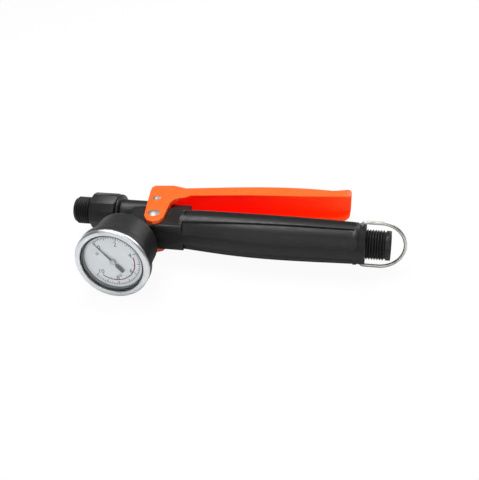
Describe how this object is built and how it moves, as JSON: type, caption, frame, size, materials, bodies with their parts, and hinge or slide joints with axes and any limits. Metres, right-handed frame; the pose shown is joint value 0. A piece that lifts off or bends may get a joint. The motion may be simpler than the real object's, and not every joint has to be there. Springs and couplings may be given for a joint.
{
  "type": "sprayer trigger handle",
  "caption": "Trigger shut-off handle for a pressure sprayer: fluted grip, squeeze lever, swing-over wire lock, dial pressure gauge, threaded hose inlet and lance outlet.",
  "frame": {"origin": "centre of the hose inlet's end face", "axes": "+X out of the hose inlet along the grip, +Y towards the lever, +Z the side that faces up when the handle lies down"},
  "size_m": [0.2497, 0.1109, 0.0532],
  "materials": {
    "black_nylon": "glass-filled nylon, fine moulded grain",
    "lever_orange": "glossy orange enamel",
    "rivet_steel": "peened, dull",
    "loop_wire": "drawn wire, satin",
    "spring_steel": "bright spring wire",
    "case_black": "semi-gloss black",
    "bezel_chrome": "polished rim",
    "lens_clear": "clear",
    "dial_white": "printed white",
    "pointer_black": "satin",
    "gasket_grey": "matte",
    "seal_rubber": "matte",
    "brass": "machined",
    "bronze": "drawn tube",
    "white_plastic": "moulded",
    "acetal": "machined"
  },
  "bodies": {
    "handle": {"grip_body": "black_nylon", "inlet_strainer": "white_plastic", "strainer_ring": "seal_rubber", "outlet_adapter": "black_nylon", "outlet_o_ring": "seal_rubber", "valve_seat": "brass", "seal_bush": "acetal", "stem_o_rings": "seal_rubber", "gland_nut": "brass", "spring_cap": "acetal", "return_spring": "spring_steel", "gauge_case": "case_black", "gauge_bezel": "bezel_chrome", "gauge_lens": "lens_clear", "lens_gasket": "gasket_grey", "dial": "dial_white", "gauge_socket": "brass", "gauge_washer": "seal_rubber", "bourdon_tube": "bronze", "tube_end": "brass", "movement_plates": "brass", "movement_pillars": "brass", "dial_screws": "spring_steel", "hairspring": "bronze"},
    "lever": {"lever": "lever_orange", "pivot_rivet": "rivet_steel", "stem_rivet": "rivet_steel"},
    "valve_stem": {"valve_stem": "brass", "valve_disc": "seal_rubber"},
    "lock_loop": {"lock_loop": "loop_wire"},
    "pointer": {"pointer": "pointer_black", "pinion_arbor": "brass"},
    "sector": {"sector_gear": "brass", "sector_arbor": "spring_steel"},
    "link": {"link": "brass"}
  },
  "joints": [
    {"name": "lever_squeeze", "type": "hinge", "parent": "handle", "child": "lever", "pos_m": [-0.1694, 0.0016, 0], "axis": [0, 0, -1], "range_deg": [0, 15], "stiffness_Nm_per_rad": 1.5, "springref_deg": -22.92, "deforming": ["return_spring"]},
    {"name": "stem_slide", "type": "slide", "parent": "handle", "child": "valve_stem", "axis": [1, 0, 0], "range_m": [0, 0.00605]},
    {"name": "lock_loop_swing", "type": "hinge", "parent": "handle", "child": "lock_loop", "pos_m": [-0.02, 0, 0], "axis": [0, 0, 1], "range_deg": [-145, 105]},
    {"name": "pointer_turn", "type": "hinge", "parent": "handle", "child": "pointer", "pos_m": [-0.1849, -0.045, 0], "axis": [0, 1, 0], "range_deg": [0, 270], "stiffness_Nm_per_rad": 0.0001},
    {"name": "sector_turn", "type": "hinge", "parent": "handle", "child": "sector", "pos_m": [-0.19165, -0.038, 0.00804], "axis": [0, 1, 0], "range_deg": [-45.5, 0.1]},
    {"name": "link_turn", "type": "hinge", "parent": "sector", "child": "link", "pos_m": [-0.19253, -0.038, 0.01112], "axis": [0, 1, 0], "range_deg": [-0.1, 45.5]}
  ],
  "couplings": [
    {"joint": "stem_slide", "follows": "lever_squeeze", "m_per_rad": 0.02296},
    {"joint": "sector_turn", "follows": "pointer_turn", "ratio": -0.16667},
    {"joint": "link_turn", "follows": "pointer_turn", "ratio": 0.16667}
  ]
}
